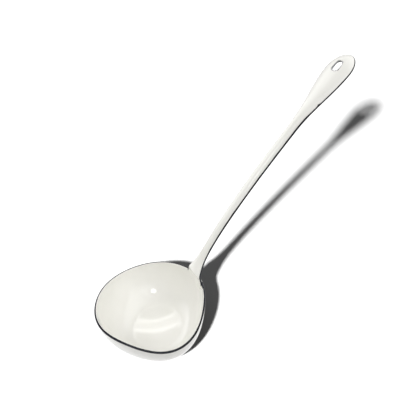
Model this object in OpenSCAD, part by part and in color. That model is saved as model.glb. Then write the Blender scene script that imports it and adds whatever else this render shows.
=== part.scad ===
// Soup ladle: a pressed steel bowl and a channel-shaped handle, spot-welded together and
// fired with white enamel, with a dark enamel edge all round.
// Origin: middle of the flat base, on the surface it stands on. +Z up, +X towards the handle.

/* [Bowl] */
// Length of the bowl from lip to neck, at the middle of the sheet
bowl_length = 87; // [80:1:100]
// Width of the bowl across, at the middle of the sheet
bowl_width = 94; // [80:1:104]
// How far the rim lies inside a plain oval halfway between its ends and sides
rim_inset = 2.25; // [0:0.25:4]
// Height of the rim at the two sides
side_height = 30; // [24:0.5:40]
// Height of the rim at the pouring lip
lip_height = 41; // [28:0.5:50]
// Height of the rim at the neck
neck_height = 35; // [28:0.5:50]
// Extra height of the rim halfway between its ends and sides
rim_shoulder = 2.25; // [0:0.25:4]
// Diameter of the flat base, at the middle of the sheet
base_d = 40; // [30:1:56]

/* [Sheet and enamel] */
// Thickness of the bowl's steel
bowl_sheet = 1.2; // [0.6:0.1:1.5]
// Thickness of the handle's steel
handle_sheet = 0.8; // [0.6:0.1:1.5]
// Thickness of one coat of enamel
enamel = 0.25; // [0.2:0.05:0.5]
// How far the dark edge coat reaches in from the edge
edge_band = 0.8; // [0.6:0.1:2]
// Height of the dark coat's rounded nose over the steel edge
edge_nose = 0.4; // [0.3:0.05:0.8]

/* [Handle] */
// Length of the handle along its line, from the rim to the tip
handle_length = 215; // [180:1:260]
// Width where the handle crosses the rim
neck_width = 21; // [14:0.5:24]
// Length over which the neck narrows to the shaft
neck_taper = 13.5; // [8:0.5:18]
// Width of the shaft above the neck
shaft_width = 6.2; // [5:0.2:10]
// Width that the shaft would reach at the tip if it had no paddle
shaft_end_width = 8; // [5:0.2:12]
// Width of the paddle at the upper end
paddle_width = 22.4; // [16:0.2:30]
// Distance from the tip at which the paddle starts to widen
paddle_length = 68; // [50:1:90]
// Length of the paddle's rounded end
tip_length = 14; // [10:0.5:22]
// Height of the shaft's crown over its edges
shaft_crown = 1.6; // [1:0.1:2.5]
// Height of the paddle's crown over its edges
paddle_crown = 3.5; // [1.5:0.1:5]
// Length over which the neck rises in line with the bowl's wall
neck_rise = 6; // [3:0.5:12]
// Length of the bend between that rise and the shaft
neck_bend = 2; // [1:0.5:10]
// Slope of the handle just above the neck bend
neck_slope = 56; // [40:0.5:75]
// Slope of the handle a quarter of the way up
lower_slope = 45.5; // [25:0.5:70]
// Slope of the handle halfway up
middle_slope = 41; // [20:0.5:70]
// Slope of the handle three quarters of the way up
upper_slope = 39; // [15:0.5:70]
// Slope of the handle at its tip
tip_slope = 37.5; // [5:0.5:70]

/* [Tongue] */
// How far the handle's tongue reaches down inside the bowl
tongue_length = 9; // [8:0.5:13]
// Diameter of one spot weld
weld_d = 3.4; // [2:0.2:4]
// Distance between the two spot welds
weld_spacing = 7; // [5.5:0.5:9]
// How far the spot welds lie below the rim
weld_drop = 3.6; // [3.2:0.1:4.5]

/* [Hanging hole] */
// Length of the hole in the steel, along the handle
hole_length = 9; // [7:0.5:14]
// Width of the hole in the steel
hole_width = 6; // [5:0.25:9]
// Distance of the hole's middle from the tip
hole_from_tip = 12.5; // [11:0.5:20]

/* [Hidden] */

white_coat = [0.93, 0.93, 0.89];
dark_coat = [0.07, 0.08, 0.11];
bare_steel = [0.55, 0.56, 0.58];

// Faces round the bowl, those of them behind the neck, and rings from the rim to the base
bowl_sides = 60;
neck_sides = 5;
bowl_rings = 10;
// Stations on the tongue's end, the neck bend, the shaft, the paddle and the tip's rounding
tongue_steps = 5;
bend_steps = 13;
shaft_steps = 11;
paddle_steps = 9;
tip_steps = 7;
// Rows from the edge of the handle to its middle line
handle_rows = 4;

// Gap between the tongue and the bowl's wall, which the spot welds bridge
weld_gap = 0.15;
// Gap between neighbouring coats at the neck
coat_gap = 0.05;
// Slope of the bowl's wall at the rim, which the handle starts with
wall_slope = 86;
// How sharply the channel turns down at its edges
crown_power = 2.5;
// How long the neck keeps its width before it narrows
taper_power = 1.5;
// Share of the rounded ends that the middle line reaches into
end_reach = 0.45;
// How far cutters run past what they cut
cut_past = 6;

base_r = base_d / 2;
base_z = enamel + bowl_sheet / 2;
bowl_inner = -bowl_sheet / 2;
bowl_outer = bowl_sheet / 2;
mean_r = (bowl_length + bowl_width) / 4;
oval = (bowl_length - bowl_width) / 4;
end_rise = (lip_height + neck_height) / 2 - side_height;
end_tilt = (neck_height - lip_height) / 2;
neck_r = neck_width / 2;
neck_end = neck_rise + neck_bend;
straight_length = handle_length - tip_length;
band_start = edge_nose + weld_gap;
tongue_clear = edge_nose + coat_gap;

function smooth(t) = let (c = min(1, max(0, t))) c * c * (3 - 2 * c);
function unit(v) = v / norm(v);

// Bowl

function rim_radius(a) = mean_r + oval * cos(2 * a) - rim_inset * (1 - cos(4 * a)) / 2;

function rim_height(a) = side_height + end_rise * pow(cos(a), 2) + end_tilt * cos(a)
    + rim_shoulder * (1 - cos(4 * a)) / 2;

// A point of the bowl: angle round it, turn down its wall (0 rim, 90 base), distance outside
// the middle of the sheet, and height over that point
function bowl_point(a, v, out, lift = 0) =
    let (
        reach = rim_radius(a) - base_r,
        rise = rim_height(a) - base_z,
        n = unit([cos(v) / reach, -sin(v) / rise]),
        r = base_r + reach * cos(v) + out * n[0],
        z = base_z + rise * (1 - sin(v)) + out * n[1] + lift
    )
    [r * cos(a), r * sin(a), z];

// Turn down the wall of a point that lies a given drop below the rim
function wall_turn(a, drop) = asin(drop / (rim_height(a) - base_z));

function ring_turn(a, j) =
    let (band = wall_turn(a, edge_band))
    j == 0 ? 0 : band + (90 - band) * (j - 1) / (bowl_rings - 1);

// Angle round the bowl of a point y off the middle plane
function wall_angle(y, v, out, a = 0, pass = 0) =
    let (p = bowl_point(a, v, out))
    pass > 5 ? a : wall_angle(y, v, out, asin(y / norm([p[0], p[1]])), pass + 1);

// Half the angle that the neck takes of the rim
neck_angle = wall_angle(neck_r + tongue_clear, 0, bowl_inner - weld_gap - handle_sheet);

// Angles of the bowl's stations: evenly over the neck, then evenly over the rest
function bowl_angle(i) =
    i <= neck_sides ? neck_angle * (2 * i / neck_sides - 1)
    : neck_angle + (360 - 2 * neck_angle) * (i - neck_sides) / (bowl_sides - neck_sides);

// Two triangles for one four-sided face, always split along the same diagonal
function quad(a, b, c, d) = [[a, b, c], [a, c, d]];

// A coat or sheet of the bowl between two distances, from one ring down to the base
module bowl_layer(inner, outer, first_ring) {
    rings = bowl_rings - first_ring + 1;
    count = rings * bowl_sides;
    points = [for (out = [inner, outer]) for (j = [first_ring:bowl_rings])
        for (i = [0:bowl_sides - 1])
            let (a = bowl_angle(i))
            bowl_point(a, ring_turn(a, j), out)];
    function at(side, j, i) = side * count + j * bowl_sides + i % bowl_sides;
    inside = [for (j = [0:rings - 2]) for (i = [0:bowl_sides - 1])
        for (f = quad(at(0, j, i), at(0, j, i + 1), at(0, j + 1, i + 1), at(0, j + 1, i)))
            [f[0], f[2], f[1]]];
    outside = [for (j = [0:rings - 2]) for (i = [0:bowl_sides - 1])
        each quad(at(1, j, i), at(1, j, i + 1), at(1, j + 1, i + 1), at(1, j + 1, i))];
    top = [for (i = [0:bowl_sides - 1])
        each quad(at(0, 0, i), at(0, 0, i + 1), at(1, 0, i + 1), at(1, 0, i))];
    floor_up = [for (i = [bowl_sides - 1:-1:0]) at(0, rings - 1, i)];
    floor_down = [for (i = [0:bowl_sides - 1]) at(1, rings - 1, i)];
    polyhedron(points, concat(inside, outside, top, [floor_up, floor_down]));
}

// An edge coat swept over stations, each with an outer and an inner chain of as many points
module edge_coat(stations) {
    m = len(stations[0][0]);
    last = len(stations) - 1;
    points = [for (station = stations) for (chain = station) each chain];
    function at(k, chain, i) = (k * 2 + chain) * m + i;
    along = [for (k = [0:last - 1]) for (i = [0:m - 2]) for (chain = [0, 1])
        for (f = quad(at(k, chain, i), at(k, chain, i + 1), at(k + 1, chain, i + 1),
            at(k + 1, chain, i)))
            chain == 1 ? f : [f[0], f[2], f[1]]];
    sides = [for (k = [0:last - 1]) for (i = [0, m - 1])
        for (f = quad(at(k, 0, i), at(k + 1, 0, i), at(k + 1, 1, i), at(k, 1, i)))
            i > 0 ? f : [f[0], f[2], f[1]]];
    ends = [for (k = [0, last]) for (i = [0:m - 2])
        for (f = quad(at(k, 0, i), at(k, 1, i), at(k, 1, i + 1), at(k, 0, i + 1)))
            k > 0 ? f : [f[0], f[2], f[1]]];
    polyhedron(points, concat(along, sides, ends));
}

// Handle: its line in the plane y = 0

bend_ends = [0, neck_rise, neck_end,
    for (i = [1:4]) neck_end + (handle_length - neck_end) * i / 4];
bend_slopes = [wall_slope, wall_slope, neck_slope, lower_slope, middle_slope, upper_slope,
    tip_slope];
last_bend = len(bend_ends) - 1;

function handle_slope(s) = lookup(s, [for (i = [0:last_bend]) [bend_ends[i], bend_slopes[i]]]);

// How far the line runs along and up in one bend, from its start to s
function bend_run(s, i) =
    let (
        from = bend_slopes[i],
        turn = (bend_slopes[i + 1] - from) / (bend_ends[i + 1] - bend_ends[i]),
        run = min(s, bend_ends[i + 1]) - bend_ends[i],
        to = from + turn * run,
        radius = 180 / PI / turn
    )
    abs(turn) < 0.001 ? run * [cos(from), sin(from)]
        : radius * [sin(to) - sin(from), cos(from) - cos(to)];

function handle_run(s, i = 0) =
    i >= last_bend || s <= bend_ends[i] ? [0, 0] : bend_run(s, i) + handle_run(s, i + 1);

function along(s) = [cos(handle_slope(s)), 0, sin(handle_slope(s))];
function upright(s) = [-sin(handle_slope(s)), 0, cos(handle_slope(s))];

// A point of the tongue: it follows the bowl's inner wall
function tongue_point(s, y, up) =
    let (
        out = bowl_inner - weld_gap - up,
        v = s < 0 ? wall_turn(0, -s) : 0
    )
    bowl_point(wall_angle(y, v, out), v, out);

neck_edge = tongue_point(0, neck_r, 0);
neck_sag = tongue_point(0, 0, 0)[0] - neck_edge[0];

function handle_line(s) =
    let (run = handle_run(s))
    [neck_edge[0] + run[0], 0, neck_edge[2] + run[1]];

function crown(s) = -neck_sag + (shaft_crown + neck_sag) * smooth(s / neck_end)
    + (paddle_crown - shaft_crown) * max(0, s - neck_end) / (handle_length - neck_end);

function half_width(s) =
    let (
        shaft = (shaft_width + (shaft_end_width - shaft_width) * s / handle_length) / 2,
        widening = smooth((s - handle_length + paddle_length) / (paddle_length - tip_length)),
        flare = exp(-pow(max(0, s) / neck_taper, taper_power))
    )
    shaft + (paddle_width / 2 - shaft) * widening + (neck_r - shaft) * flare;

tip_half = half_width(straight_length);

// The outline: place u runs from -1, the tongue's lowest point, over 0, the rim, and 1, where
// the tip's rounding starts, to 2, the tip. Each gives [along, aside, along on the middle line].
function outline(u) =
    u < 0 ? [tongue_length * sin(90 * u), neck_r * cos(90 * u),
        end_reach * tongue_length * sin(90 * u)]
    : u <= 1 ? [u * straight_length, half_width(u * straight_length), u * straight_length]
    : [straight_length + tip_length * sin(90 * (u - 1)), tip_half * cos(90 * (u - 1)),
        straight_length + end_reach * tip_length * sin(90 * (u - 1))];

function row_length(u) = let (o = outline(u)) norm([o[0] - o[2], o[1]]);
function band_share(u) = 1 - edge_band / row_length(u);
function nose_share(u) = 1 + edge_nose / row_length(u);

// A point of the handle: place u, share q of the way from its middle line to its edge, side
// (-1 or 1), and height over the back face of its steel
function handle_point(u, q, side, up) =
    let (
        o = outline(u),
        s = o[2] + (o[0] - o[2]) * q,
        y = side * o[1] * q,
        wall = tongue_point(s, y, up) + max(0, s) * along(0),
        fall = crown_power * crown(s) * pow(q, crown_power - 1) / row_length(u),
        aside = [0, side * o[1], 0] + (o[0] - o[2]) * along(s),
        free = handle_line(s) + [0, y, 0] + crown(s) * (1 - pow(q, crown_power)) * upright(s)
            + up * unit(upright(s) + fall * unit(aside)),
        share = smooth(s / neck_end)
    )
    s <= 0 ? wall : (1 - share) * wall + share * free;

paddle_start = (handle_length - paddle_length) / straight_length;
bend_end = 2 * neck_end / straight_length;

// Place just above the rim where the white edge of the tongue gives way to the dark edge
band_place = band_start / straight_length;

function spread(from, to, steps) = [for (i = [0:steps - 1]) from + (to - from) * i / steps];

// Places of the stations from the tongue's lowest point to the tip
places = concat(spread(-1, 0, tongue_steps), [0], spread(band_place, bend_end, bend_steps),
    spread(bend_end, paddle_start, shaft_steps), spread(paddle_start, 1, paddle_steps),
    spread(1, 2, tip_steps), [2]);
dark_places = [for (u = places) if (u >= band_place) u];
tongue_places = [for (u = places) if (u <= band_place) u];

// A coat or sheet of the handle between two heights, over stations that end at the tip. With
// whole, it reaches the edge; without, it stops at the edge coat.
module handle_layer(low, high, reach, whole) {
    tip = len(reach) - 1;
    closed = reach[0] == -1;
    columns = closed ? 2 * tip : 2 * tip + 1;
    rows = whole ? handle_rows : handle_rows - 1;
    function station_of(c) = c <= tip ? c : 2 * tip - c;
    function share(u, j) =
        let (k = whole ? j : j + 1)
        k == 0 ? 1 : band_share(u) * (handle_rows - k) / (handle_rows - 1);
    function point(c, j, up) =
        let (u = reach[station_of(c)])
        handle_point(u, share(u, j), c <= tip ? -1 : 1, up);
    points = [for (up = [low, high]) each concat(
        [for (c = [0:columns - 1]) for (j = [0:rows - 1]) point(c, j, up)],
        [for (c = [0:tip]) point(c, rows, up)])];
    count = len(points) / 2;
    function at(side, c, j) = side * count
        + (j < rows ? (c % columns) * rows + j : columns * rows + station_of(c));
    faces = [for (c = [0:2 * tip - 1]) for (j = [0:rows - 1]) for (side = [0, 1])
        for (f = quad(at(side, c, j), at(side, c + 1, j), at(side, c + 1, j + 1),
            at(side, c, j + 1)))
            if (f[0] != f[1] && f[1] != f[2] && f[0] != f[2])
                side == 0 ? f : [f[0], f[2], f[1]]];
    edge = [for (c = [0:2 * tip - 1])
        each quad(at(0, c, 0), at(1, c, 0), at(1, c + 1, 0), at(0, c + 1, 0))];
    end = closed ? [] : [for (c = [0, 2 * tip]) for (j = [0:rows - 1])
        for (f = quad(at(0, c, j), at(0, c, j + 1), at(1, c, j + 1), at(1, c, j)))
            c == 0 ? f : [f[0], f[2], f[1]]];
    polyhedron(points, concat(faces, edge, end));
}

// Hanging hole

hole_s = handle_length - hole_from_tip;

module hole_shape(inset) {
    span = hole_length - hole_width;
    for (end = [-1, 1])
        translate([end * span / 2, 0])
            circle(d = hole_width - 2 * inset, $fn = 48);
    square([span, hole_width - 2 * inset], center = true);
}

module hole_place() {
    translate(handle_line(hole_s))
        rotate([0, -handle_slope(hole_s), 0])
            children();
}

module hole_cutter() {
    hole_place()
        linear_extrude(height = 2 * cut_past, center = true)
            hole_shape(0);
}

// Spot welds

module weld_axes() {
    for (side = [-1, 1])
        translate([0, side * weld_spacing / 2, neck_height - weld_drop])
            rotate([0, 90, 0])
                children();
}

weld_turn = wall_turn(0, weld_drop);
weld_from = tongue_point(-weld_drop, weld_spacing / 2 + weld_d / 2, handle_sheet)[0] + weld_gap;
weld_to = bowl_point(wall_angle(weld_spacing / 2 + weld_d / 2, weld_turn, bowl_outer),
    wall_turn(0, weld_drop + weld_d / 2), bowl_outer)[0] - weld_gap;

module weld_holes() {
    weld_axes()
        translate([0, 0, base_r])
            cylinder(d = weld_d, h = bowl_length, $fn = 32);
}

// The tongue's outline with its edge coat, through the bowl's wall
module tongue_cutter() {
    edge = [for (a = [0:10:180])
        [(neck_r + tongue_clear) * cos(a),
            neck_height - (tongue_length + tongue_clear) * sin(a)]];
    ends = [[-neck_r - tongue_clear, neck_height + cut_past],
        [neck_r + tongue_clear, neck_height + cut_past]];
    translate([base_r, 0, 0])
        rotate([90, 0, 90])
            linear_extrude(height = bowl_length)
                polygon(concat(edge, ends));
}

// Pieces

module bowl_pressing() {
    color(bare_steel)
        difference() {
            bowl_layer(bowl_inner, bowl_outer, 0);
            weld_holes();
        }
}

module handle_pressing() {
    color(bare_steel)
        difference() {
            handle_layer(0, handle_sheet, places, true);
            weld_holes();
            hole_cutter();
        }
}

module weld_nuggets() {
    color(bare_steel)
        weld_axes()
            translate([0, 0, weld_from])
                cylinder(d = weld_d, h = weld_to - weld_from, $fn = 32);
}

module bowl_inner_enamel() {
    color(white_coat)
        difference() {
            bowl_layer(bowl_inner - enamel, bowl_inner, 0);
            tongue_cutter();
        }
}

// The coat over the bowl's steel edge and down its outside, from one station to another
module rim_coat(first, last) {
    edge_coat([for (k = [first:last])
        let (
            a = bowl_angle(k),
            low = wall_turn(a, edge_band)
        )
        [[bowl_point(a, low, bowl_outer), bowl_point(a, 0, bowl_outer),
            bowl_point(a, 0, 0), bowl_point(a, 0, bowl_inner)],
        [bowl_point(a, low, bowl_outer + enamel), bowl_point(a, 0, bowl_outer + enamel),
            bowl_point(a, 0, 0, edge_nose), bowl_point(a, 0, bowl_inner, enamel)]]]);
}

module bowl_outer_enamel() {
    color(white_coat) {
        bowl_layer(bowl_outer, bowl_outer + enamel, 1);
        rim_coat(0, neck_sides);
    }
}

module rim_edge_enamel() {
    color(dark_coat)
        rim_coat(neck_sides, bowl_sides);
}

module handle_front_enamel() {
    color(white_coat)
        difference() {
            handle_layer(handle_sheet, handle_sheet + enamel, places, false);
            hole_cutter();
        }
}

module handle_back_enamel() {
    color(white_coat)
        difference() {
            handle_layer(-enamel, 0, dark_places, false);
            hole_cutter();
        }
}

module handle_edge_enamel() {
    last = len(dark_places) - 1;
    color(dark_coat)
        edge_coat([for (k = [0:2 * last])
            let (
                u = dark_places[k <= last ? k : 2 * last - k],
                side = k <= last ? -1 : 1,
                inner = band_share(u),
                nose = nose_share(u)
            )
            [[handle_point(u, inner, side, handle_sheet + enamel),
                handle_point(u, 1, side, handle_sheet + enamel),
                handle_point(u, nose, side, handle_sheet / 2),
                handle_point(u, 1, side, -enamel), handle_point(u, inner, side, -enamel)],
            [handle_point(u, inner, side, handle_sheet), handle_point(u, 1, side, handle_sheet),
                handle_point(u, 1, side, handle_sheet / 2),
                handle_point(u, 1, side, 0), handle_point(u, inner, side, 0)]]]);
}

module tongue_edge_enamel() {
    last = len(tongue_places) - 1;
    color(white_coat)
        edge_coat([for (k = [0:2 * last])
            let (
                u = tongue_places[k <= last ? last - k : k - last],
                side = k <= last ? 1 : -1,
                inner = band_share(u),
                nose = nose_share(u)
            )
            [[handle_point(u, inner, side, handle_sheet + enamel),
                handle_point(u, 1, side, handle_sheet + enamel),
                handle_point(u, nose, side, handle_sheet / 2), handle_point(u, nose, side, 0)],
            [handle_point(u, inner, side, handle_sheet), handle_point(u, 1, side, handle_sheet),
                handle_point(u, 1, side, handle_sheet / 2), handle_point(u, 1, side, 0)]]]);
}

module hole_edge_enamel() {
    color(dark_coat)
        intersection() {
            handle_layer(-enamel, handle_sheet + enamel, dark_places, false);
            hole_place()
                linear_extrude(height = 2 * cut_past, center = true)
                    difference() {
                        hole_shape(0);
                        hole_shape(enamel);
                    }
        }
}

bowl_pressing();
handle_pressing();
weld_nuggets();
bowl_inner_enamel();
bowl_outer_enamel();
rim_edge_enamel();
handle_front_enamel();
handle_back_enamel();
handle_edge_enamel();
tongue_edge_enamel();
hole_edge_enamel();
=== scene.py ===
import math

import bmesh
import bpy
import numpy as np
from mathutils import Matrix, Vector


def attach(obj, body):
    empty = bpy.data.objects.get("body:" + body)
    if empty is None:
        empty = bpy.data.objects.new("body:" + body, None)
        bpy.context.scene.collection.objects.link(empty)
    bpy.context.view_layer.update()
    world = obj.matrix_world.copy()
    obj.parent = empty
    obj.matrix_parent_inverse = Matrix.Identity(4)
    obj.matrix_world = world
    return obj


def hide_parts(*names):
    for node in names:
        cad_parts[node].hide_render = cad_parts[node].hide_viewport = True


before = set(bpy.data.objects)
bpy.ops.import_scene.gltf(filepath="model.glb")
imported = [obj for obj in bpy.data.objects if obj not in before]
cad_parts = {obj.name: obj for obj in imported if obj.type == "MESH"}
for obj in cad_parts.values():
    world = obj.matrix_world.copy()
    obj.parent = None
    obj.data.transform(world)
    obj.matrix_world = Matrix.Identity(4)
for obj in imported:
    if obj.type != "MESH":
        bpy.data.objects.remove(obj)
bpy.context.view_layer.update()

MM = 0.001

# Bowl, as in the part's source
BOWL_LENGTH = 87 * MM
BOWL_WIDTH = 94 * MM
RIM_INSET = 2.25 * MM
SIDE_HEIGHT = 30 * MM
LIP_HEIGHT = 41 * MM
NECK_HEIGHT = 35 * MM
RIM_SHOULDER = 2.25 * MM
BASE_RADIUS = 20 * MM

# Sheet and coats, as in the part's source
BOWL_SHEET = 1.2 * MM
HANDLE_SHEET = 0.8 * MM
ENAMEL = 0.25 * MM
EDGE_BAND = 0.8 * MM
EDGE_NOSE = 0.4 * MM
WELD_GAP = 0.15 * MM

# Handle, as in the part's source
HANDLE_LENGTH = 215 * MM
NECK_WIDTH = 21 * MM
NECK_TAPER = 13.5 * MM
SHAFT_WIDTH = 6.2 * MM
SHAFT_END_WIDTH = 8 * MM
PADDLE_WIDTH = 22.4 * MM
PADDLE_LENGTH = 68 * MM
TIP_LENGTH = 14 * MM
SHAFT_CROWN = 1.6 * MM
PADDLE_CROWN = 3.5 * MM
NECK_RISE = 6 * MM
NECK_BEND = 2 * MM
SLOPES = np.radians([86, 86, 56, 45.5, 41, 39, 37.5])
TONGUE_LENGTH = 9 * MM
CROWN_POWER = 2.5
TAPER_POWER = 1.5
END_REACH = 0.45
HOLE_LENGTH = 9 * MM
HOLE_WIDTH = 6 * MM
HOLE_FROM_TIP = 12.5 * MM

# Distances of the coats' faces from the middle of the bowl's sheet and the back of the handle's
BOWL_INSIDE = -BOWL_SHEET / 2 - ENAMEL
BOWL_OUTSIDE = BOWL_SHEET / 2 + ENAMEL
HANDLE_FRONT = HANDLE_SHEET + ENAMEL
HANDLE_BACK = -ENAMEL

BASE_HEIGHT = ENAMEL + BOWL_SHEET / 2
END_RISE = (LIP_HEIGHT + NECK_HEIGHT) / 2 - SIDE_HEIGHT
END_TILT = (NECK_HEIGHT - LIP_HEIGHT) / 2
NECK_RADIUS = NECK_WIDTH / 2
NECK_END = NECK_RISE + NECK_BEND
STRAIGHT_LENGTH = HANDLE_LENGTH - TIP_LENGTH

# Rounded edges: radius, and how far the middle of the round lies inside the steel's edge
RIM_ROUND = BOWL_OUTSIDE
RIM_ROUND_IN = RIM_ROUND - EDGE_NOSE
EDGE_ROUND = (HANDLE_FRONT - HANDLE_BACK) / 2
EDGE_ROUND_IN = EDGE_ROUND - EDGE_NOSE
EDGE_MIDDLE = (HANDLE_FRONT + HANDLE_BACK) / 2

# Turn at which the dark starts on the bowl's rim, how far it reaches over the handle's front
# face, the turn at which it ends on the handle's back, and the length it fades in over above
# the rim. The reach over the front face is real dark edge enamel, widened to paint in the dark
# reflection that the edge's rounded side shows.
RIM_DARK_FROM = math.radians(56)
DARK_AND_REFLECTION_REACH = 0.13 * MM
EDGE_DARK_TO = math.radians(155)
DARK_FADE = 3 * MM

# How unevenly the dark runs: at the rim's inside, at its outside, over the handle's front face
# and at its back
RIM_WOBBLE = 0.06
BAND_WOBBLE = 0.1
REACH_WOBBLE = 0.35
BACK_WOBBLE = 0.03
RIM_SEED = 3
BAND_SEED = 4
REACH_SEED = 5
BACK_SEED = 6

# Drops where the dark pooled: place along the near rim and the handle's near edge, how much
# further the dark reaches in at each, and their length
RIM_DROP_ANGLE = math.radians(-118)
RIM_DROP_TURN = math.radians(22)
EDGE_DROP_S = 171 * MM
EDGE_DROP_REACH = 0.4 * MM
DROP_LENGTH = 1.1 * MM

# Dark beads in the corners of rim and neck: side of the handle, and how far each runs along
# both of them. Then their thickness against the edges', and how far the rim's dark runs on
# behind the neck.
CORNER_BEADS = ((-1, 2.2 * MM), (-1, 4.4 * MM), (1, 2.2 * MM))
BEAD_SIZE = 0.97
BEHIND_NECK = 4 * MM
CORNER_STEPS = 15
CORNER_SIDES = 20


def smooth(t):
    """An even step from 0 to 1 with soft ends."""
    c = np.clip(t, 0, 1)
    return c * c * (3 - 2 * c)


WAVE_TURNS = (3, 5, 9, 14, 23, 37)
WAVE_SHARE = 1 / 2.4


def waves(t, seed):
    """A smooth wobble between about -1 and 1 that closes over one turn of t."""
    rng = np.random.default_rng(seed)
    total = 0
    for turns in WAVE_TURNS:
        total = total + np.sin(turns * t + rng.uniform(0, 2 * math.pi)) * WAVE_SHARE
    return total


# Bowl surfaces


def rim_radius(a):
    plain = (BOWL_LENGTH + BOWL_WIDTH) / 4 + (BOWL_LENGTH - BOWL_WIDTH) / 4 * np.cos(2 * a)
    return plain - RIM_INSET * (1 - np.cos(4 * a)) / 2


def rim_height(a):
    ends = END_RISE * np.cos(a) ** 2 + END_TILT * np.cos(a)
    return SIDE_HEIGHT + ends + RIM_SHOULDER * (1 - np.cos(4 * a)) / 2


def bowl_section(a, v, out):
    """Radius, height and outward direction on the bowl at angle a and turn v down its wall."""
    reach = rim_radius(a) - BASE_RADIUS
    rise = rim_height(a) - BASE_HEIGHT
    across = np.cos(v) / reach
    upward = -np.sin(v) / rise
    size = np.hypot(across, upward)
    across, upward = across / size, upward / size
    radius = BASE_RADIUS + reach * np.cos(v) + out * across
    height = BASE_HEIGHT + rise * (1 - np.sin(v)) + out * upward
    return radius, height, across, upward


def turned(a, radius, height):
    return np.stack(np.broadcast_arrays(radius * np.cos(a), radius * np.sin(a), height), -1)


def bowl_point(a, v, out):
    radius, height, _, _ = bowl_section(a, v, out)
    return turned(a, radius, height)


def wall_turn(a, drop):
    return np.arcsin(drop / (rim_height(a) - BASE_HEIGHT))


ANGLE_ROUNDS = 7


def wall_angle(y, v, out):
    """Angle round the bowl of a point that lies y off the middle plane, towards the handle."""
    a = np.zeros(np.broadcast(y, v, out).shape)
    for _ in range(ANGLE_ROUNDS):
        p = bowl_point(a, v, out)
        a = np.arcsin(np.clip(y / np.hypot(p[..., 0], p[..., 1]), -1, 1))
    return a


def rim_round(a, turn):
    """A point on the rounded rim: turn 0 is inside the bowl, pi outside it."""
    v = wall_turn(a, RIM_ROUND_IN)
    radius, height, across, upward = bowl_section(a, v, 0)
    side = -RIM_ROUND * np.cos(turn)
    top = RIM_ROUND * np.sin(turn)
    return turned(a, radius + side * across - top * upward, height + side * upward + top * across)


NECK_ANGLE = float(wall_angle(NECK_RADIUS, 0, BOWL_INSIDE - WELD_GAP))

# Handle surfaces

LINE_COUNT = 4001
PAST_TIP = 1.02
BENDS = np.concatenate([[0, NECK_RISE, NECK_END],
                        NECK_END + (HANDLE_LENGTH - NECK_END) * np.arange(1, 5) / 4])
LINE_STEPS = np.linspace(0, HANDLE_LENGTH * PAST_TIP, LINE_COUNT)
LINE_SLOPES = np.interp(LINE_STEPS, BENDS, SLOPES)


def run_of(rate):
    middles = (rate[1:] + rate[:-1]) / 2 * np.diff(LINE_STEPS)
    return np.concatenate([[0], np.cumsum(middles)])


LINE_X = run_of(np.cos(LINE_SLOPES))
LINE_Z = run_of(np.sin(LINE_SLOPES))


def tongue_point(s, y, up):
    out = -BOWL_SHEET / 2 - WELD_GAP - up
    v = wall_turn(0, np.maximum(0, -s))
    return bowl_point(wall_angle(y, v, out), v, out)


NECK_EDGE = tongue_point(np.zeros(1), np.full(1, NECK_RADIUS), np.zeros(1))[0]
NECK_SAG = tongue_point(np.zeros(1), np.zeros(1), np.zeros(1))[0, 0] - NECK_EDGE[0]


def along(slope):
    return np.stack([np.cos(slope), 0 * slope, np.sin(slope)], -1)


def upright(slope):
    return np.stack([-np.sin(slope), 0 * slope, np.cos(slope)], -1)


def handle_line(s):
    x = NECK_EDGE[0] + np.interp(s, LINE_STEPS, LINE_X)
    z = NECK_EDGE[2] + np.interp(s, LINE_STEPS, LINE_Z)
    return np.stack([x, 0 * x, z], -1)


def crown(s):
    rise = (PADDLE_CROWN - SHAFT_CROWN) * np.maximum(0, s - NECK_END) / (HANDLE_LENGTH - NECK_END)
    return -NECK_SAG + (SHAFT_CROWN + NECK_SAG) * smooth(s / NECK_END) + rise


def half_width(s):
    shaft = (SHAFT_WIDTH + (SHAFT_END_WIDTH - SHAFT_WIDTH) * s / HANDLE_LENGTH) / 2
    widening = smooth((s - HANDLE_LENGTH + PADDLE_LENGTH) / (PADDLE_LENGTH - TIP_LENGTH))
    flare = np.exp(-(np.maximum(0, s) / NECK_TAPER) ** TAPER_POWER)
    return shaft + (PADDLE_WIDTH / 2 - shaft) * widening + (NECK_RADIUS - shaft) * flare


TIP_HALF = half_width(STRAIGHT_LENGTH)


def outline(u):
    """Along, aside, and along on the middle line, at place u: -1 is the tongue's lowest point,
    0 the rim, 1 the start of the tip's rounding and 2 the tip."""
    tongue = np.clip(u, -1, 0) * math.pi / 2
    tip = np.clip(u - 1, 0, 1) * math.pi / 2
    s = STRAIGHT_LENGTH * np.clip(u, 0, 1)
    edge = s + TONGUE_LENGTH * np.sin(tongue) + TIP_LENGTH * np.sin(tip)
    middle = s + END_REACH * (TONGUE_LENGTH * np.sin(tongue) + TIP_LENGTH * np.sin(tip))
    aside = np.where(u > 1, TIP_HALF * np.cos(tip), half_width(s)) * np.cos(tongue)
    return edge, aside, middle


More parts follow.
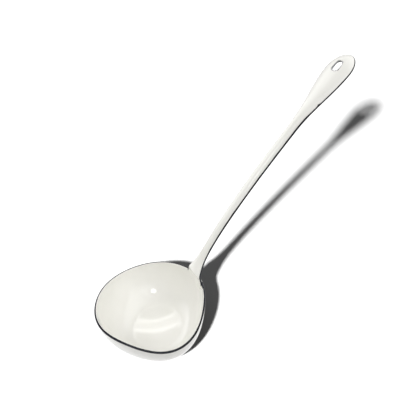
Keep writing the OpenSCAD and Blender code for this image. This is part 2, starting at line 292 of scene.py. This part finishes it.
def handle_point(u, q, up):
    """A point of the handle: place u, share q of the way from the middle line to an edge
    (negative on the -Y side), and height over the back face of the steel."""
    edge, aside, middle = outline(u)
    share = np.abs(q)
    s = middle + (edge - middle) * share
    y = aside * q
    slope = np.interp(s, BENDS, SLOPES)
    length = np.maximum(1e-9, np.hypot(edge - middle, aside))
    wall = tongue_point(s, y, up) + np.maximum(0, s)[..., None] * along(SLOPES[0] + 0 * s)
    fall = CROWN_POWER * crown(s) * share ** (CROWN_POWER - 1) / length
    outward = (edge - middle)[..., None] * along(slope)
    outward = outward + np.stack([0 * y, np.sign(q) * aside, 0 * y], -1)
    outward = outward / np.maximum(1e-9, np.linalg.norm(outward, axis=-1, keepdims=True))
    normal = upright(slope) + fall[..., None] * outward
    normal = normal / np.linalg.norm(normal, axis=-1, keepdims=True)
    height = crown(s) * (1 - share ** CROWN_POWER)
    free = handle_line(s) + np.stack([0 * y, y, 0 * y], -1)
    free = free + height[..., None] * upright(slope) + up[..., None] * normal
    blend = np.where(s <= 0, 0, smooth(s / NECK_END))[..., None]
    return (1 - blend) * wall + blend * free


HALVINGS = 40


def handle_at(s, y, up):
    """A point of the handle at a distance along it and a distance off its middle plane."""
    low = np.zeros_like(s)
    high = np.full_like(s, 2)
    for _ in range(HALVINGS):
        u = (low + high) / 2
        edge, aside, middle = outline(u)
        reached = middle + (edge - middle) * np.abs(y) / np.maximum(aside, 1e-9)
        low = np.where(reached < s, u, low)
        high = np.where(reached < s, high, u)
    _, aside, _ = outline(u)
    return handle_point(u, y / np.maximum(aside, 1e-9), up)


def edge_share(u, inset):
    """Share of the way from the middle line to a point that far inside the steel's edge."""
    edge, aside, middle = outline(u)
    return 1 - inset / np.hypot(edge - middle, aside)


def edge_round(u, side, turn):
    """A point on the handle's rounded edge: turn 0 is where the front face ends, pi where the
    back face does, and a turn below 0 lies on the front face by the same distance."""
    bend = np.maximum(0, turn)
    inset = EDGE_ROUND_IN - EDGE_ROUND * (np.sin(bend) + np.minimum(0, turn))
    up = EDGE_MIDDLE + EDGE_ROUND * np.cos(bend)
    return handle_point(u + 0 * turn, side * edge_share(u, inset), up)


# Meshes

# Points of one piece closer than this are one point
JOIN_DISTANCE = 0.001 * MM


def mesh_piece(name, points, faces, material, nodes):
    """A smooth piece that rides on the ladle and stands for the CAD nodes."""
    mesh = bpy.data.meshes.new(name)
    mesh.from_pydata(points, [], faces)
    shape = bmesh.new()
    shape.from_mesh(mesh)
    bmesh.ops.remove_doubles(shape, verts=shape.verts, dist=JOIN_DISTANCE)
    bmesh.ops.recalc_face_normals(shape, faces=shape.faces)
    shape.to_mesh(mesh)
    shape.free()
    mesh.shade_smooth()
    mesh.materials.append(material)
    piece = bpy.data.objects.new(name, mesh)
    bpy.context.scene.collection.objects.link(piece)
    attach(piece, "root")
    if nodes:
        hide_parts(*nodes)
    return piece


def grid_faces(rows, columns, start=0, closed=False, keep=None):
    """Four-sided faces of a grid of points; closed joins the last column to the first."""
    faces = []
    for j in range(rows - 1):
        for i in range(columns if closed else columns - 1):
            corners = [(j, i), (j, (i + 1) % columns), (j + 1, (i + 1) % columns), (j + 1, i)]
            if keep is None or all(keep[c] for c in corners):
                faces.append([start + row * columns + column for row, column in corners])
    return faces


def joined(grids):
    """Points and faces of several grids in one mesh; each grid is (points, closed, keep)."""
    points = []
    faces = []
    for grid, closed, keep in grids:
        rows, columns = grid.shape[:2]
        faces += grid_faces(rows, columns, len(points), closed, keep)
        points += grid.reshape(-1, 3).tolist()
    return points, faces


# Materials

# Where the hanging hole's lining starts to turn dark and where it is fully dark, along the
# ladle's length
LINING_DARK_FROM_X = 183.0 * MM
LINING_DARK_FULL_X = 184.0 * MM

# Enamel: size of the slow drifts of tone and of the orange peel's dimples, both per metre, the
# share of the drift at which each tone is reached, how far gloss drifts, the peel's depth, and
# the roughness of the clear coat
DRIFT_SCALE = 28
DRIFT_DETAIL = 3
PEEL_SCALE = 330
PEEL_DETAIL = 2
TINT_AT = 0.35
BASE_AT = 0.65
GLOSS_DRIFT = 0.3
PEEL_DEPTH = 0.1 * MM
COAT_ROUGHNESS = 0.03

WHITE_BASE = (0.85, 0.842, 0.8)
WHITE_TINT = (0.822, 0.815, 0.765)
DARK_BASE = (0.004, 0.005, 0.008)
DARK_TINT = (0.012, 0.014, 0.022)
# Grey of the hole's lining over most of its wall, and its tint
LINING_GREY_BASE = (0.4, 0.4, 0.4)
LINING_GREY_TINT = (0.3, 0.31, 0.33)
WHITE_GLOSS = {"roughness": 0.05, "peel": 0.014, "ior": 1.52, "coat": 0.6}
DARK_GLOSS = {"roughness": 0.16, "peel": 0.1, "ior": 1.33, "coat": 0}
LINING_GLOSS = {"roughness": 0.16, "peel": 0.1, "ior": 1.45, "coat": 0}


def noise_node(material, scale, detail):
    """A noise in the ladle's own coordinates."""
    nodes = material.node_tree.nodes
    place = nodes.new("ShaderNodeTexCoord")
    noise = nodes.new("ShaderNodeTexNoise")
    noise.inputs["Scale"].default_value = scale
    noise.inputs["Detail"].default_value = detail
    material.node_tree.links.new(place.outputs["Object"], noise.inputs["Vector"])
    return noise


def roughness_from(material, noise, low, high):
    """Lets the roughness drift from low to high with a noise."""
    links = material.node_tree.links
    gloss = material.node_tree.nodes.new("ShaderNodeMapRange")
    gloss.inputs["To Min"].default_value = low
    gloss.inputs["To Max"].default_value = high
    links.new(noise.outputs["Fac"], gloss.inputs["Value"])
    shader = material.node_tree.nodes["Principled BSDF"]
    links.new(gloss.outputs["Result"], shader.inputs["Roughness"])


def colour_from(material, noise, tints, places):
    """Lets the colour drift between two tints with a noise; returns the ramp's colour."""
    links = material.node_tree.links
    tone = material.node_tree.nodes.new("ShaderNodeValToRGB")
    for element, tint, place in zip(tone.color_ramp.elements, tints, places):
        element.position = place
        element.color = (*tint, 1)
    links.new(noise.outputs["Fac"], tone.inputs["Fac"])
    shader = material.node_tree.nodes["Principled BSDF"]
    links.new(tone.outputs["Color"], shader.inputs["Base Color"])
    return tone.outputs["Color"]


def enamel_material(name, base, tint, roughness, peel, ior, coat):
    """Fired enamel: slow drifts of tone, a soft orange peel and a clear gloss."""
    material = bpy.data.materials.new(name)
    material.use_nodes = True
    nodes = material.node_tree.nodes
    links = material.node_tree.links
    shader = nodes["Principled BSDF"]
    shader.inputs["IOR"].default_value = ior
    shader.inputs["Coat Weight"].default_value = coat
    shader.inputs["Coat Roughness"].default_value = COAT_ROUGHNESS
    drift = noise_node(material, DRIFT_SCALE, DRIFT_DETAIL)
    colour_from(material, drift, (tint, base), (TINT_AT, BASE_AT))
    roughness_from(material, drift, roughness * (1 - GLOSS_DRIFT), roughness * (1 + GLOSS_DRIFT))
    ripple = noise_node(material, PEEL_SCALE, PEEL_DETAIL)
    bump = nodes.new("ShaderNodeBump")
    bump.inputs["Strength"].default_value = peel
    bump.inputs["Distance"].default_value = PEEL_DEPTH
    links.new(ripple.outputs["Fac"], bump.inputs["Height"])
    links.new(bump.outputs["Normal"], shader.inputs["Normal"])
    return material


def hole_material():
    """The hole's lining: grey over most of its wall, and dark at the end towards the tip."""
    material = enamel_material("hole_enamel", LINING_GREY_BASE, LINING_GREY_TINT, **LINING_GLOSS)
    nodes = material.node_tree.nodes
    links = material.node_tree.links
    shader = nodes["Principled BSDF"]
    lining_grey = shader.inputs["Base Color"].links[0].from_socket
    place = nodes.new("ShaderNodeTexCoord")
    split = nodes.new("ShaderNodeSeparateXYZ")
    links.new(place.outputs["Object"], split.inputs["Vector"])
    # How far the lining has turned from grey to dark, along the ladle's length
    dark_share = nodes.new("ShaderNodeMapRange")
    dark_share.interpolation_type = "SMOOTHSTEP"
    dark_share.inputs["From Min"].default_value = LINING_DARK_FROM_X
    dark_share.inputs["From Max"].default_value = LINING_DARK_FULL_X
    links.new(split.outputs["X"], dark_share.inputs["Value"])
    blend = nodes.new("ShaderNodeMix")
    blend.data_type = "RGBA"
    links.new(dark_share.outputs["Result"], blend.inputs["Factor"])
    links.new(lining_grey, blend.inputs["A"])
    blend.inputs["B"].default_value = (*DARK_BASE, 1)
    links.new(blend.outputs["Result"], shader.inputs["Base Color"])
    return material


STEEL_GRAIN = 900
STEEL_DETAIL = 2
STEEL_TONES = ((0.3, 0.31, 0.33), (0.5, 0.51, 0.53))
STEEL_ROUGHNESS = (0.3, 0.5)


def steel_material():
    """The pressed steel under the coats, with a fine grain."""
    material = bpy.data.materials.new("pressed_steel")
    material.use_nodes = True
    material.node_tree.nodes["Principled BSDF"].inputs["Metallic"].default_value = 1
    grain = noise_node(material, STEEL_GRAIN, STEEL_DETAIL)
    colour_from(material, grain, STEEL_TONES, (0, 1))
    roughness_from(material, grain, *STEEL_ROUGHNESS)
    return material


WHITE = enamel_material("white_enamel", WHITE_BASE, WHITE_TINT, **WHITE_GLOSS)
DARK = enamel_material("dark_enamel", DARK_BASE, DARK_TINT, **DARK_GLOSS)
HOLE_LINING = hole_material()
STEEL = steel_material()

for name in ("bowl_pressing", "handle_pressing", "weld_nuggets"):
    for material_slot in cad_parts[name].material_slots:
        material_slot.material = STEEL

# Bowl pieces

SIDES = 360
ROUND_A = np.arange(SIDES) * 2 * math.pi / SIDES
WALL_RINGS = 64
BASE_RINGS = 16
LIP_RINGS = 7
ROUND_RINGS = 15
BAND_RINGS = 3


def shares(count):
    """Shares from 0 to 1, one row each."""
    return (np.arange(count) / (count - 1))[:, None]


def wall_rings(a, start, out):
    """Rings down the wall from turn start, then across the flat base to its middle."""
    turns = start + (math.pi / 2 - start) * shares(WALL_RINGS + 1)
    wall = bowl_point(a[None], turns, out)
    shrink = (1 - np.arange(1, BASE_RINGS + 1) / BASE_RINGS)[:, None, None]
    base = wall[-1:] * np.array([1, 1, 0]) * shrink + wall[-1:] * np.array([0, 0, 1])
    return np.concatenate([wall, base])


def corner_bead(side, reach):
    """Rings of a bead of enamel that rounds the corner between the rim and the neck's edge."""
    a = side * (NECK_ANGLE + np.array([reach, 0]) / (BOWL_LENGTH / 2))
    radius, height, _, _ = bowl_section(a, wall_turn(a, RIM_ROUND_IN), 0)
    on_rim, corner = turned(a, radius, height)
    u = np.array([reach / STRAIGHT_LENGTH])
    on_neck = handle_point(u, side * edge_share(u, EDGE_ROUND_IN), np.array([EDGE_MIDDLE]))[0]
    t = np.linspace(0, 1, CORNER_STEPS)[:, None]
    path = (1 - t) ** 2 * on_rim + 2 * t * (1 - t) * corner + t * t * on_neck
    ahead = np.gradient(path, axis=0)
    ahead = ahead / np.linalg.norm(ahead, axis=1, keepdims=True)
    aside = np.cross(ahead, corner * np.array([1, 1, 0]))
    aside = aside / np.linalg.norm(aside, axis=1, keepdims=True)
    outward = np.cross(aside, ahead)
    turn = np.arange(CORNER_SIDES) * 2 * math.pi / CORNER_SIDES
    turn = turn[None, :, None]
    size = BEAD_SIZE * (RIM_ROUND + (EDGE_ROUND - RIM_ROUND) * t)[..., None]
    ring = aside[:, None] * np.cos(turn) + outward[:, None] * np.sin(turn)
    return path[:, None] + size * ring


def drop_at(distance):
    """How much of a drop there is at a distance from its middle."""
    return np.exp(-(distance / DROP_LENGTH) ** 2)


def behind_neck(reach):
    """Which sides of the bowl lie behind the neck, less a reach at either end."""
    hidden = NECK_ANGLE - reach / (BOWL_LENGTH / 2)
    return np.abs((ROUND_A + math.pi) % (2 * math.pi) - math.pi) < hidden


def rim_band(dark_from, low):
    """Rings of the rim's edge: over its round from dark_from on, then down the wall to low."""
    lip = dark_from[None] + shares(ROUND_RINGS) * (math.pi - dark_from[None])
    high = wall_turn(ROUND_A, RIM_ROUND_IN)
    turns = high[None] + shares(BAND_RINGS + 1)[1:] * (low - high)[None]
    return np.concatenate([rim_round(ROUND_A[None], lip),
                           bowl_point(ROUND_A[None], turns, BOWL_OUTSIDE)])


def build_bowl():
    dark_from = RIM_DARK_FROM * (1 + RIM_WOBBLE * waves(ROUND_A, RIM_SEED))
    past = (ROUND_A - RIM_DROP_ANGLE + math.pi) % (2 * math.pi) - math.pi
    dark_from = dark_from - RIM_DROP_TURN * drop_at(past * BOWL_LENGTH / 2)
    low = wall_turn(ROUND_A, EDGE_BAND * (1 + BAND_WOBBLE * waves(ROUND_A, BAND_SEED)))
    wall = wall_rings(ROUND_A, wall_turn(ROUND_A, RIM_ROUND_IN), BOWL_INSIDE)[::-1]
    lip = rim_round(ROUND_A[None], shares(LIP_RINGS) * dark_from[None])
    points, faces = joined([(np.concatenate([wall, lip[1:]]), True, None)])
    mesh_piece("inner_coat", points, faces, WHITE, ["bowl_inner_enamel"])

    band = rim_band(dark_from, low)
    behind = behind_neck(BEHIND_NECK)
    dark_keep = np.broadcast_to(~behind, band.shape[:2])
    columns = np.roll(behind, -1) | behind | np.roll(behind, 1)
    white_keep = np.broadcast_to(columns, band.shape[:2])
    corners = [(corner_bead(side, reach), True, None) for side, reach in CORNER_BEADS]
    points, faces = joined([(band, True, dark_keep)] + corners)
    mesh_piece("rim_edge", points, faces, DARK, ["rim_edge_enamel"])

    outside = wall_rings(ROUND_A, low, BOWL_OUTSIDE)
    points, faces = joined([(outside, True, None), (band, True, white_keep)])
    mesh_piece("outer_coat", points, faces, WHITE, ["bowl_outer_enamel"])


# Handle pieces

FRONT_ROWS = 15

# Rows along the handle: each run's last place, and how many rows it has
RUNS = ((0, 36), (0.16, 90), (0.7, 149), (1, 149))
TIP_ROWS = 49


def places_along():
    """Places from the tongue's lowest point to the tip, closer together where it bends."""
    rows = []
    start = -1
    for end, count in RUNS:
        rows.append(np.linspace(start, end, count + 1)[:-1])
        start = end
    rows.append(1 + np.sin(np.linspace(0, math.pi / 2, TIP_ROWS)))
    return np.concatenate(rows)


PLACES = places_along()

# The hole's middle, and how much wider than the clear hole the coats' faces are left open
HOLE_S = HANDLE_LENGTH - HOLE_FROM_TIP
HOLE_LIP = 0.1 * MM

# The enamel's run from the tongue's edge down onto the wall: its width, what share of that it
# has at the rim and the place on the tongue from which it has it all, and how far it sinks in
SKIRT_WIDTH = 1.6 * MM
SKIRT_AT_RIM = 0.35
SKIRT_FULL_AT = 0.35
SKIRT_SINK = 0.02 * MM
SKIRT_STEPS = 13

# How far past the rim the tongue's skirt runs on as a place, the rows over a rounded edge, and
# the turns that the wobble makes along the handle for each of its places
TONGUE_PAST_RIM = 0.004
EDGE_STEPS = 17
WAVE_STRETCH = 3


def hole_distance(s, y):
    """How far a point lies outside the clear hole, negative inside it."""
    span = (HOLE_LENGTH - HOLE_WIDTH) / 2
    off = np.maximum(0, np.abs(s - HOLE_S) - span)
    return np.hypot(off, y) - (HOLE_WIDTH / 2 - ENAMEL)


def across(count):
    """Shares from one edge over the middle line to the other, closer together at the edges."""
    return np.sin(np.linspace(-1, 1, 2 * count + 1) * math.pi / 2)


def handle_face(places, up, insets):
    """A face of the handle up to an inset from each steel edge, with the hole left out."""
    u = places[:, None]
    share = across(FRONT_ROWS)[None]
    q = share * edge_share(u, np.where(share < 0, insets[-1][:, None], insets[1][:, None]))
    points = handle_point(u + 0 * q, q, up + 0 * q)
    edge, aside, middle = outline(u + 0 * q)
    s = middle + (edge - middle) * np.abs(q)
    return points, hole_distance(s, aside * q) > HOLE_LIP


def edge_strip(places, side, turns):
    """A strip of the handle's rounded edge, with its own turns at each place."""
    u = places[:, None] + 0 * turns
    return edge_round(u, side, turns)


def skirt_strip(places, side):
    """The enamel that runs from the tongue's edge down onto the bowl's wall."""
    t = shares(SKIRT_STEPS).T
    u = places[:, None] + 0 * t
    fade = SKIRT_AT_RIM + (1 - SKIRT_AT_RIM) * smooth(-u / SKIRT_FULL_AT)
    q = side * edge_share(u, EDGE_ROUND_IN - SKIRT_WIDTH * fade * t)
    wall = ENAMEL - WELD_GAP
    up = HANDLE_FRONT - (HANDLE_FRONT - wall + SKIRT_SINK) * smooth(t)
    return handle_point(u, q, up + 0 * u)


def dark_and_reflection_reach(side):
    """How far the dark of one edge reaches over the front face, at each place. It is real dark
    edge enamel, widened to paint in the dark reflection along the edge.
    """
    s = outline(PLACES)[0]
    uneven = waves(PLACES * WAVE_STRETCH, REACH_SEED + side)
    reach = DARK_AND_REFLECTION_REACH * (1 + REACH_WOBBLE * uneven)
    if side < 0:
        reach = reach + EDGE_DROP_REACH * drop_at(s - EDGE_DROP_S)
    return reach * smooth(PLACES * STRAIGHT_LENGTH / DARK_FADE)


def build_handle():
    free = PLACES[PLACES >= 0]
    tongue = PLACES[PLACES <= TONGUE_PAST_RIM]
    steps = shares(EDGE_STEPS).T
    uneven = waves(free * WAVE_STRETCH, BACK_SEED)
    dark_to = EDGE_DARK_TO * (1 + BACK_WOBBLE * uneven)[:, None]
    reach = {side: dark_and_reflection_reach(side) for side in (-1, 1)}
    on_front = {side: EDGE_ROUND_IN + reach[side] for side in (-1, 1)}
    on_back = {side: EDGE_ROUND_IN + 0 * free for side in (-1, 1)}

    points, keep = handle_face(PLACES, HANDLE_FRONT, on_front)
    points, faces = joined([(points, False, keep)])
    mesh_piece("front_coat", points, faces, WHITE, ["handle_front_enamel"])

    points, keep = handle_face(free, HANDLE_BACK, on_back)
    back = [(points, False, keep)]
    for side in (-1, 1):
        back.append((edge_strip(free, side, dark_to + (math.pi - dark_to) * steps), False, None))
    points, faces = joined(back)
    mesh_piece("back_coat", points, faces, WHITE, ["handle_back_enamel"])

    edges = []
    for side in (-1, 1):
        # The front face's dark: real edge enamel, widened as a painted dark reflection
        dark_from = -reach[side][PLACES >= 0][:, None] / EDGE_ROUND
        turns = dark_from + (dark_to - dark_from) * steps
        edges.append((edge_strip(free, side, turns), False, None))
    points, faces = joined(edges)
    mesh_piece("handle_edge", points, faces, DARK, ["handle_edge_enamel"])

    points, faces = joined([(skirt_strip(tongue, side), False, None) for side in (-1, 1)])
    mesh_piece("tongue_edge", points, faces, WHITE, ["tongue_edge_enamel"])


HOLE_SIDES = 96

# Section of the hole's lining: how far each point lies outside the clear hole, and its height
# over the back of the steel
LINING = np.array([[0.25, 1.02], [0.18, 1.05], [0.1, 1.03], [0.03, 0.95], [0, 0.8], [0, 0.4],
                   [0, 0], [0.03, -0.15], [0.1, -0.23], [0.18, -0.25], [0.25, -0.22]]) * MM


def build_hole():
    """The lining of the hanging hole, with a soft lip on either face."""
    turn = np.arange(HOLE_SIDES) * 2 * math.pi / HOLE_SIDES
    span = (HOLE_LENGTH - HOLE_WIDTH) / 2
    radius = HOLE_WIDTH / 2 - ENAMEL + LINING[:, :1]
    s = HOLE_S + span * np.sign(np.cos(turn)) + radius * np.cos(turn)
    y = radius * np.sin(turn)
    points, faces = joined([(handle_at(s, y, LINING[:, 1:] + 0 * s), True, None)])
    mesh_piece("hole_lining", points, faces, HOLE_LINING, ["hole_edge_enamel"])


build_bowl()
build_handle()
build_hole()

# Floor

FLOOR_HALF = 3.0

# The floor's tone for the camera and in mirrors, and the share of it that other rays see
FLOOR_TONE = 0.07
FLOOR_SHARE = 0.2

floor_mesh = bpy.data.meshes.new("floor")
floor_mesh.from_pydata([(-FLOOR_HALF, -FLOOR_HALF, 0), (FLOOR_HALF, -FLOOR_HALF, 0),
                        (FLOOR_HALF, FLOOR_HALF, 0), (-FLOOR_HALF, FLOOR_HALF, 0)], [],
                       [(0, 1, 2, 3)])
floor = bpy.data.objects.new("floor", floor_mesh)
bpy.context.scene.collection.objects.link(floor)


def math_node(nodes, links, operation, *values):
    """The output of a math node over outputs and numbers."""
    node = nodes.new("ShaderNodeMath")
    node.operation = operation
    for socket, value in zip(node.inputs, values):
        if isinstance(value, (int, float)):
            socket.default_value = value
        else:
            links.new(value, socket)
    return node.outputs["Value"]


def floor_material():
    """Matt paper that the floor lamp alone whitens, so that the ladle's shadow stays deep. The
    camera and reflections show it white; what it throws back on the ladle is a share of that."""
    material = bpy.data.materials.new("paper_floor")
    material.use_nodes = True
    nodes = material.node_tree.nodes
    links = material.node_tree.links
    nodes.remove(nodes["Principled BSDF"])
    path = nodes.new("ShaderNodeLightPath")
    mirrored = math_node(nodes, links, "MAXIMUM", path.outputs["Is Glossy Ray"],
                         path.outputs["Is Transmission Ray"])
    shown = math_node(nodes, links, "MAXIMUM", path.outputs["Is Camera Ray"], mirrored)
    tone = nodes.new("ShaderNodeMapRange")
    tone.inputs["To Min"].default_value = FLOOR_TONE * FLOOR_SHARE
    tone.inputs["To Max"].default_value = FLOOR_TONE
    links.new(shown, tone.inputs["Value"])
    matt = nodes.new("ShaderNodeBsdfDiffuse")
    links.new(tone.outputs["Result"], matt.inputs["Color"])
    links.new(matt.outputs["BSDF"], nodes["Material Output"].inputs["Surface"])
    return material


floor_mesh.materials.append(floor_material())

# Light

# The tent's own level, and its brighter parts: azimuth, elevation, half angles at which each
# is full and has faded out, and what it adds
TENT_LEVEL = 0.5
BRIGHT_PARTS = ((-115, 45, 4, 30, 0.8), (-35, 46, 2, 60, 1.1), (118, 32, 6, 36, 1.4),
                (95, 15, 10, 35, 0.6), (175, 12, 8, 40, 0.35))

# The round window, bright at its inner and outer edge: azimuth and elevation of its middle, the
# half angle that its profile spans, the profile as half angle and share, and its full level
RING_PLACE = (74.1, 46.6)
RING_SPAN = 10
RING_PROFILE = ((6.25, 0), (6.5, 0.9), (6.75, 0.22), (7.65, 0.22), (7.95, 1), (8.2, 0))
RING_LEVEL = 4.8

# The lamp for the floor alone, and the oval softbox for the ladle alone: azimuth, elevation,
# width and height as shares of its distance, and radiance
FLOOR_LAMP_PLACE = (-0.267, -0.268, 0.447)
FLOOR_LAMP_RADIUS = 0.02
FLOOR_LAMP_ENERGY = 680
SPOT = (-137, 53, 0.2, 0.34, 5.5)


def direction_of(azimuth, elevation):
    """The unit vector that points at an azimuth and elevation in degrees."""
    a, e = math.radians(azimuth), math.radians(elevation)
    return Vector((math.cos(e) * math.cos(a), math.cos(e) * math.sin(a), math.sin(e)))


def facing(nodes, links, place, azimuth, elevation):
    """The cosine of the angle between a ray and a direction."""
    node = nodes.new("ShaderNodeVectorMath")
    node.operation = "DOT_PRODUCT"
    node.inputs[1].default_value = direction_of(azimuth, elevation)
    links.new(place.outputs["Generated"], node.inputs[0])
    return node.outputs["Value"]


def bright_part(nodes, links, place, part):
    """What one brighter part of the tent adds."""
    azimuth, elevation, full, gone, level = part
    fade = nodes.new("ShaderNodeMapRange")
    fade.interpolation_type = "SMOOTHSTEP"
    fade.inputs["From Min"].default_value = math.cos(math.radians(gone))
    fade.inputs["From Max"].default_value = math.cos(math.radians(full))
    fade.inputs["To Max"].default_value = level
    links.new(facing(nodes, links, place, azimuth, elevation), fade.inputs["Value"])
    return fade.outputs["Result"]


def ring_window(nodes, links, place):
    """What the round window adds."""
    angle = math_node(nodes, links, "ARCCOSINE", facing(nodes, links, place, *RING_PLACE))
    ring = nodes.new("ShaderNodeFloatCurve")
    span = math.radians(RING_SPAN)
    links.new(math_node(nodes, links, "DIVIDE", angle, span), ring.inputs["Value"])
    curve = ring.mapping.curves[0]
    curve.points[0].location = (0, 0)
    curve.points[-1].location = (1, 0)
    for half_angle, share in RING_PROFILE:
        curve.points.new(half_angle / RING_SPAN, share)
    for point in curve.points:
        point.handle_type = "VECTOR"
    ring.mapping.update()
    return math_node(nodes, links, "MULTIPLY", ring.outputs["Value"], RING_LEVEL)


def tent_world():
    """A soft studio tent round the ladle, with a round window. The camera sees it white."""
    world = bpy.data.worlds.new("tent")
    world.use_nodes = True
    nodes = world.node_tree.nodes
    links = world.node_tree.links
    place = nodes.new("ShaderNodeTexCoord")
    total = TENT_LEVEL
    for part in BRIGHT_PARTS:
        total = math_node(nodes, links, "ADD", bright_part(nodes, links, place, part), total)
    total = math_node(nodes, links, "ADD", ring_window(nodes, links, place), total)
    path = nodes.new("ShaderNodeLightPath")
    seen = nodes.new("ShaderNodeMix")
    links.new(path.outputs["Is Camera Ray"], seen.inputs["Factor"])
    links.new(total, seen.inputs["A"])
    seen.inputs["B"].default_value = 1
    sky = nodes["Background"]
    sky.inputs["Color"].default_value = (1, 1, 1, 1)
    links.new(seen.outputs["Result"], sky.inputs["Strength"])
    return world


def lit_group(name, things):
    """A collection of the only things that a lamp lights."""
    group = bpy.data.collections.new(name)
    for thing in things:
        group.objects.link(thing)
    return group


def softbox(name, azimuth, elevation, width, height, radiance):
    """An oval lamp 1 m away that looks at the bowl and lights only the ladle."""
    light = bpy.data.lights.new(name, "AREA")
    light.shape = "ELLIPSE"
    light.size = width
    light.size_y = height
    light.energy = radiance * math.pi * width * height * math.pi / 4
    holder = bpy.data.objects.new(name, light)
    bpy.context.scene.collection.objects.link(holder)
    away = direction_of(azimuth, elevation)
    holder.location = away
    holder.rotation_euler = away.to_track_quat("Z", "Y").to_euler()
    holder.light_linking.receiver_collection = lit_group("ladle_only", ladle_pieces())


def ladle_pieces():
    """Everything but the floor."""
    return [thing for thing in bpy.context.scene.objects
            if thing.type == "MESH" and thing != floor]


def floor_lamp():
    """The lamp that whitens the floor and casts the ladle's shadow on it. It lights the floor
    alike near and far: no fall-off with distance, and stronger towards the flatter angles."""
    light = bpy.data.lights.new("floor_lamp", "POINT")
    light.energy = FLOOR_LAMP_ENERGY
    light.shadow_soft_size = FLOOR_LAMP_RADIUS
    light.use_nodes = True
    nodes = light.node_tree.nodes
    links = light.node_tree.links
    direction = nodes.new("ShaderNodeTexCoord")
    split = nodes.new("ShaderNodeSeparateXYZ")
    links.new(direction.outputs["Normal"], split.inputs["Vector"])
    steep = math_node(nodes, links, "ABSOLUTE", split.outputs["Z"])
    even = nodes.new("ShaderNodeLightFalloff")
    links.new(math_node(nodes, links, "DIVIDE", 1, steep), even.inputs["Strength"])
    links.new(even.outputs["Constant"], nodes["Emission"].inputs["Strength"])
    holder = bpy.data.objects.new("floor_lamp", light)
    bpy.context.scene.collection.objects.link(holder)
    holder.location = FLOOR_LAMP_PLACE
    holder.light_linking.receiver_collection = lit_group("floor_only", [floor])


bpy.context.scene.world = tent_world()
floor_lamp()
softbox("spot", *SPOT)

# Camera, at the photograph's angle

CAMERA_AZIMUTH = math.radians(-119.332)
CAMERA_ELEVATION = math.radians(38.11)
CAMERA_ROLL = math.radians(-4.858)
CAMERA_DISTANCE = 307.2 * MM
FOCUS_HEIGHT = 30 * MM
AIM_RIGHT = 45.13 * MM
AIM_UP = 78.05 * MM
FOCAL_PIXELS = 378.8
IMAGE_PIXELS = 416
CLIP_START = 10 * MM


def add_camera():
    """The camera that takes the photograph's view."""
    cos_e, sin_e = math.cos(CAMERA_ELEVATION), math.sin(CAMERA_ELEVATION)
    back = Vector((cos_e * math.cos(CAMERA_AZIMUTH), cos_e * math.sin(CAMERA_AZIMUTH), sin_e))
    level = Vector((-math.sin(CAMERA_AZIMUTH), math.cos(CAMERA_AZIMUTH), 0))
    rise = back.cross(level)
    right = math.cos(CAMERA_ROLL) * level + math.sin(CAMERA_ROLL) * rise
    upward = math.cos(CAMERA_ROLL) * rise - math.sin(CAMERA_ROLL) * level
    data = bpy.data.cameras.new("photo_camera")
    data.lens = data.sensor_width * FOCAL_PIXELS / IMAGE_PIXELS
    data.clip_start = CLIP_START
    camera = bpy.data.objects.new("photo_camera", data)
    bpy.context.scene.collection.objects.link(camera)
    place = Vector((0, 0, FOCUS_HEIGHT)) + AIM_RIGHT * right + AIM_UP * upward
    place = place + CAMERA_DISTANCE * back
    turn = Matrix((right, upward, back)).transposed().to_4x4()
    camera.matrix_world = Matrix.Translation(place) @ turn
    bpy.context.scene.camera = camera


add_camera()
bpy.context.scene.view_settings.view_transform = "Standard"
